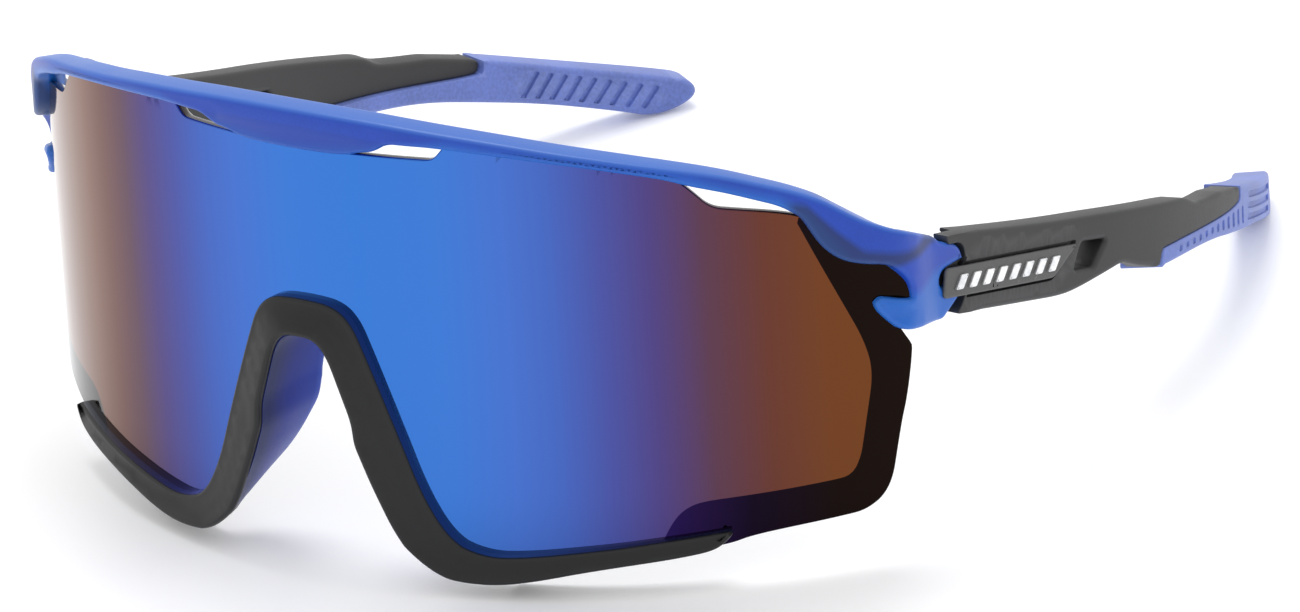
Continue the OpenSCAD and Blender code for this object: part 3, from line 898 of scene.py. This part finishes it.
# %% Nose piece mesh
arch_half = [
    (20.4, 3.2), (18.6, 4.0), (16.6, 5.6), (14.3, 8), (11.8, 12.6), (10.3, 15.6, 1.5), (8.15, 21.1, 1.2),
    (7.85, 24.5, 1.5), (4.65, 33.7, 2.5), (2.75, 35.75, 2), (0, 36)]
arch = rounded([(x, z, *c) for x, z, *c in arch_half] + [(-x, z, *c) for x, z, *c in arch_half[-2::-1]],
               0.7, closed=False)
tangent = np.gradient(arch, axis=0)
outward = np.stack([tangent[:, 1], -tangent[:, 0]], -1)
outward /= np.linalg.norm(outward, axis=1)[:, None]
PAD_T, PAD_TAPER = 1.8, 0.25           # the wall's thickness, and the share it loses to the back
PAD_FRONT, PAD_OVER = 2.1, 0.25        # ahead of the lens, and over the rim's nose face
PAD_BOW, PAD_LOW = 1.4, 0.15           # how late the flare sets in, and the lowest height
flare = np.interp(arch[:, 1], [0, 4, 7, 13, 19, 24, 36], [2.4, 2.9, 2.3, 0.9, -0.3, -1.2, -0.6])
pad_depth = np.interp(arch[:, 1], [2.2, 3.0, 6, 12, 20, 30, 36], [4.5, 6.5, 10.0, 12.6, 13.4, 12.8, 11.0])
# section: distance back (0 to 1) and across the wall (0 nose face, 1 far face), rounded at the back
back_steps = (0.15, 0.3, 0.45, 0.6, 0.75, 0.88)
tip_ring = [(0.94 + 0.06 * math.sin(a), 0.5 - 0.5 * math.cos(a)) for a in np.linspace(0, math.pi, 9)]
section = [(0.0, 0.0)] + [(k, 0.0) for k in back_steps] + tip_ring
section += [(k, 1.0) for k in back_steps[::-1]] + [(0.0, 1.0)]
rows = []
for k, (px, pz) in enumerate(arch):
    out_x, out_z = outward[k]
    row = []
    for back_part, across_part in section:
        thick = PAD_T * (1 - PAD_TAPER * back_part)
        off = flare[k] * back_part**PAD_BOW - PAD_OVER + thick * across_part
        x, z = px + out_x * off, pz + out_z * off
        lens_y = LENS_Y + LEAN * (z - PIVOT_Z) - math.sqrt(LENS_R**2 - px**2)
        row.append((x, lens_y - PAD_FRONT + pad_depth[k] * back_part, max(z, PAD_LOW)))
    rows.append(row)
m = len(section)
co = np.array(rows).reshape(-1, 3)
faces = [[i * m + j, i * m + (j + 1) % m, (i + 1) * m + (j + 1) % m, (i + 1) * m + j]
         for i in range(len(rows) - 1) for j in range(m)]
faces += [list(range(m))[::-1], [(len(rows) - 1) * m + j for j in range(m)]]


def pad_painted_light_and_shade(nt, base):
    """Painted shade and light: deep navy in the shade beside the rim, paler towards the thin back edge, where
    light would shine through.
    """
    depth_back = scaled(nt, position(nt)["Y"], -0.083, -0.0715)
    colour = ramp(nt, depth_back, [(0.0, srgb(10, 16, 66)), (0.4, srgb(18, 36, 138)),
                                   (0.85, srgb(30, 60, 164)), (1.0, srgb(52, 88, 196))])
    return mix(nt, 0.85, base, colour.outputs[0])


# the nose piece's blue carries painted shade beside the rim and painted light at its thin back edge
nose_blue = moulded("nose_blue", srgb(56, 84, 170), 0.38, grain=1600.0, bump=0.08, wear=0.2,
                    worn=srgb(110, 140, 220), painted_light=pad_painted_light_and_shade, **{"Specular IOR Level": 0.15})
pad = mesh_piece("nose_arch", co, faces)
place(pad, "front", "blue_nose", [nose_blue], "nose_piece")

# %% [markdown]
# ## The temples
# Each temple is a black plate 4.4 mm thick that starts as two horns round the brow's
# knuckle with a tongue between them. It carries a seat for the badge and a slanted window,
# and steps down where the rubber begins. The right temple is the left one mirrored.

# %% Temple mesh
BADGE_TILT = math.radians(14.6)
BADGE_AT, BADGE_L, BADGE_H = (-2.3, 36.2), 32.6, 4.3
BADGE_SLANT = 5.4              # how far the rear edge leans back


def on_badge(corners, step):
    """An outline drawn along the badge, turned into the temple's own (u, z)."""
    c, s = math.cos(BADGE_TILT), math.sin(BADGE_TILT)
    return rounded([(BADGE_AT[0] + c * x + s * y, BADGE_AT[1] - s * x + c * y, r) for x, y, r in corners], step)


def badge_shape(grow):
    """The plate's outline: a rounded front and a slanted rear."""
    h = BADGE_H / 2 + grow
    return on_badge([(-grow, -h, 1.0), (BADGE_L - BADGE_SLANT + grow * 0.4, -h, 0.8),
                     (BADGE_L + grow, h, 0.8), (-grow, h, 1.0)], 0.35)


temple_side = [
    (-0.6, 42.6, 0.2), (-0.2, 41.2, 0.3), (2.3, 40.7), (3.3, 39.7), (3.5, 38.0, 0.3), (3.45, 37.75, 0.1),
    (-2.2, 37.75, 0.9), (-2.9, 36.6, 0.9), (-2.2, 35.45, 0.9), (3.3, 35.45, 0.1), (3.3, 35.2, 0.1),
    (3.2, 33.2), (2.1, 31.6), (0.6, 30.5, 0.4), (9.8, 27.9), (25.8, 23.5, 3), (30.4, 22.9), (41.5, 22.6, 1.5),
    (46.2, 20.2, 2), (50.2, 18.1, 1), (51.2, 20.6, 0.6), (58, 19.6), (66, 18.2), (79.0, 15.7),
    (82.6, 15.4, 0.8), (82.9, 17.3, 0.8), (74.4, 20.2, 1.0), (68.6, 21.5), (64.2, 22.7, 1.5),
    (61.2, 24.7, 1.5), (57, 26.0), (40.1, 30.9), (24.1, 35.3), (4.4, 41.4, 3)]
temple_line = rounded(temple_side, 0.5)
window_line = rounded([(29.2, 26.2, 0.6), (33.9, 24.9, 0.8), (37.4, 27.8, 0.6), (31.5, 29.5, 0.8)], 0.3)
seam = rounded([(50.3, 18.0), (51.3, 20.5, 0.6), (58, 19.5), (66, 18.1), (79.0, 15.6),
                (82.75, 15.3, 0.8), (83.1, 17.5)], 0.3, closed=False)
SEAM_ROUND, EDGE_ROUND = 0.15, 0.75


def edge_round(u, z):
    """Edges are rolled over, except along the seam where the rubber meets the arm."""
    far = gap_to(np.stack([u, z], -1), seam, closed=False)
    size = [SEAM_ROUND, EDGE_ROUND]
    return np.minimum(np.interp(far, [0.5, 1.6], size), np.interp(u, [3.6, 7], size))


seat = Sunk(badge_shape(0.4), 0.55, 0.15)
TONGUE_END, TONGUE_LOW, TONGUE_TOP = 3.42, 35.0, 38.2
HORN_IN = 0.9                  # the horns are thinner than the arm


def in_tongue(u, z):
    return (u < TONGUE_END) & (z < TONGUE_TOP) & (z > TONGUE_LOW)


def barrel(u, radius):
    """The tongue's round end about the hinge axis."""
    return np.sqrt(np.clip(radius**2 - np.minimum(u, 0) ** 2, 0.7, None))


def arm_front(u, z):
    return np.where(in_tongue(u, z), np.minimum(barrel(u, 3.0), 2.4), ARM_OUT)


def arm_back(u, z):
    horn = np.clip((u - 3.5) / 0.4, 0, 1) * (ARM_IN - HORN_IN) + HORN_IN
    return np.where(in_tongue(u, z), np.maximum(-barrel(u, 2.9), -2.6), horn)


temple_grey = moulded("temple_grey", srgb(38, 38, 39), 0.5, grain=2200.0, bump=0.3, wear=0.3,
                      worn=srgb(104, 104, 106))
print("temple outline:", len(temple_line), "points, window:", len(window_line))

# %% [markdown]
# ## Rubber tips
# Co-moulded rubber wraps the end of each arm. Outside it shows short slots and then long
# ridges, and inside nine slanted grooves grip the head. The grooves are sunk into the
# faces of the plate, so they are real shape and not only shading.

# %% Tip mesh
TIP_IN = -2.1
tip_side = [
    (50.4, 17.9, 0.3), (51.3, 20.45, 0.5), (58, 19.45), (66, 18.05), (79.0, 15.5), (82.9, 15.2, 0.8),
    (83.2, 17.35, 0.2), (84.6, 16.9), (96, 12.4), (104, 9.3), (111, 6.6), (115.8, 4.6, 1.5),
    (117.0, 3.0, 1.5), (116.5, 1.4, 1.5), (113.5, 0.15), (109.8, 0.1), (105.8, 2.0), (93.6, 6.9),
    (81.2, 11), (68.1, 15.2)]
tip_line = rounded(tip_side, 0.5)


def bar_shape(a, b, width):
    """A bar from a to b with rounded ends."""
    a, b = np.array(a, float), np.array(b, float)
    d = (b - a) / np.linalg.norm(b - a)
    n = np.array([-d[1], d[0]]) * width / 2
    r = width * 0.45
    return rounded([(*(a - n), r), (*(b - n), r), (*(b + n), r), (*(a + n), r)], 0.25)


SLOTS, SLOT_AT, SLOT_PITCH = 12, 56.5, 2.45
SLOT_LOW = ([50.4, 68.1, 81.2, 93.6], [17.9, 15.2, 11.0, 6.9])
SLOT_HIGH = ([51.3, 66, 79.4, 90], [20.45, 18.05, 15.65, 13.2])
RIDGES_AT = (0.25, 0.5, 0.75)  # shares of the way from the upper edge to the lower
RIDGE_LOW = ([81.2, 93.6, 105.8, 112], [11.0, 6.9, 2.0, 0.0])
RIDGE_HIGH = ([84.2, 96, 104, 111], [17.0, 12.4, 9.1, 6.4])
GRIPS = 9
GRIP_TOPS, GRIP_FEET = ((92.6, 12.7), (111.3, 4.9)), ((89.4, 9.0), (108.9, 1.9))
outer_sunk, inner_sunk = [], []
for k in range(SLOTS):
    u = SLOT_AT + SLOT_PITCH * k
    low, high = np.interp(u, *SLOT_LOW), np.interp(u, *SLOT_HIGH)
    outer_sunk.append(Sunk(bar_shape((u, low + 0.85), (u + 0.25, high - 0.8), 0.9), 0.3, 0.15))
for k, drop in enumerate(RIDGES_AT):
    ends_at = []
    for u in (88 - 0.8 * k, 108 - 1.5 * k):
        low, high = np.interp(u, *RIDGE_LOW), np.interp(u, *RIDGE_HIGH)
        ends_at.append((u, high + (low - high) * drop))
    outer_sunk.append(Sunk(bar_shape(*ends_at, 0.8), 0.35, 0.15))
for k in range(GRIPS):
    f = k / (GRIPS - 1)
    foot, top = (tuple(a + (b - a) * f for a, b in zip(*row)) for row in (GRIP_FEET, GRIP_TOPS))
    inner_sunk.append(Sunk(bar_shape(foot, top, 0.8), 0.4, 0.15))
print("sunk shapes:", len(outer_sunk), "outside and", len(inner_sunk), "inside")

tip_rubber = moulded("tip_rubber", srgb(96, 116, 190), 0.55, grain=1700.0, bump=0.25, wear=0.25,
                     worn=srgb(150, 166, 222), **{"Sheen Weight": 0.15})

# %% [markdown]
# ## Badges and screws
# A grey plate sits in the temple's seat and reaches forward over the knuckle, and raised
# silver bars stand where a maker would put a name. The hinge screw goes up through the
# knuckle from below, and only its slotted head shows.

# %% Badge, bar and screw meshes
badge_grey = moulded("badge_plate_grey", srgb(70, 70, 70), 0.36, grain=2000.0, bump=0.12, wear=0.5,
                     worn=srgb(120, 120, 122))
silver = moulded("bar_silver", srgb(236, 238, 242), 0.3, grain=1500.0, bump=0.05, wear=0.2,
                 worn=srgb(245, 245, 248), Metallic=0.85)
steel = moulded("screw_steel", srgb(150, 152, 156), 0.28, grain=1800.0, bump=0.1, wear=0.3,
                worn=srgb(210, 212, 216), Metallic=1.0)


BARS, BAR_AT, BAR_PITCH = 8, 2.4, 3.25
BAR_W, BAR_LEAN, BAR_HALF, BAR_ROUND = 1.7, 1.1, 1.05, 0.25


def badge_bars(side, tag):
    """Slanted raised bars, merged into one piece."""
    made = []
    for k in range(BARS):
        x0, x1 = BAR_AT + BAR_PITCH * k, BAR_AT + BAR_PITCH * k + BAR_W
        bar = on_badge([(x0, -BAR_HALF, BAR_ROUND), (x1, -BAR_HALF, BAR_ROUND),
                        (x1 + BAR_LEAN, BAR_HALF, BAR_ROUND), (x0 + BAR_LEAN, BAR_HALF, BAR_ROUND)], 0.2)
        made.append(plate(f"bar_{tag}_{k}", [bar], ARM_OUT + 0.8, ARM_OUT + 0.3, on_arm, 0.12, 0.05, 0.5,
                          side=side))
    with bpy.context.temp_override(active_object=made[0], selected_editable_objects=made):
        bpy.ops.object.join()
    made[0].name = f"badge_bars_{tag}_raised"
    return made[0]


SCREW_SIDES = 48
SLOT_HALF, SLOT_DEEP, HEAD_TOP = 0.24, 0.35, 32
screw_profile = [(0.0, 40.2), (0.78, 40.2), (0.8, 40.1), (0.8, 32.6), (1.5, 32.6), (1.5, 31.75), (1.42, 31.6),
                 (1.2, 31.48), (0.8, 31.4), (0.0, 31.38)]


def screw(side, tag):
    """A lathed head and shank: the head is domed, with a slot across it."""
    cx, cy = HINGE[0] * side, HINGE[1]
    n = SCREW_SIDES
    co, faces = [], []
    for r, z in screw_profile:
        for k in range(n):
            a = 2 * math.pi * k / n
            x, y = r * math.cos(a), r * math.sin(a)
            slot = SLOT_DEEP if (abs(y) < SLOT_HALF and z < HEAD_TOP) else 0.0
            co.append((cx + x, cy + y, z + slot))
    for i in range(len(screw_profile) - 1):
        faces += [[i * n + k, (i + 1) * n + k, (i + 1) * n + (k + 1) % n, i * n + (k + 1) % n]
                  for k in range(n)]
    return mesh_piece(f"hinge_screw_{tag}_turned", co, faces)


for side, tag in ((1, "left"), (-1, "right")):
    body = "temple_l" if side > 0 else "temple_r"
    arm = plate(f"temple_arm_{tag}", [temple_line, window_line], arm_front, arm_back, on_arm,
                edge_round, edge_round, step=1.5, front_sunk=[seat], side=side)
    place(arm, body, "grey_matte", [temple_grey], f"temple_{tag}")
    tip = plate(f"temple_rubber_{tag}", [tip_line], ARM_OUT + 0.1, TIP_IN, on_arm, edge_round, edge_round,
                step=1.4, front_sunk=outer_sunk, back_sunk=inner_sunk, side=side)
    place(tip, body, "blue_rubber", [tip_rubber], f"temple_tip_{tag}")
    badge = plate(f"badge_{tag}", [badge_shape(0.0)], ARM_OUT + 0.45, ARM_OUT + 0.02, on_arm, 0.25, 0.05,
                  step=1.2, side=side)
    place(badge, body, "badge_grey", [badge_grey], f"badge_plate_{tag}")
    place(badge_bars(side, tag), body, "bar_silver", [silver], f"badge_bars_{tag}")
    place(screw(side, tag), "front", "screw_steel", [steel], f"hinge_screw_{tag}")
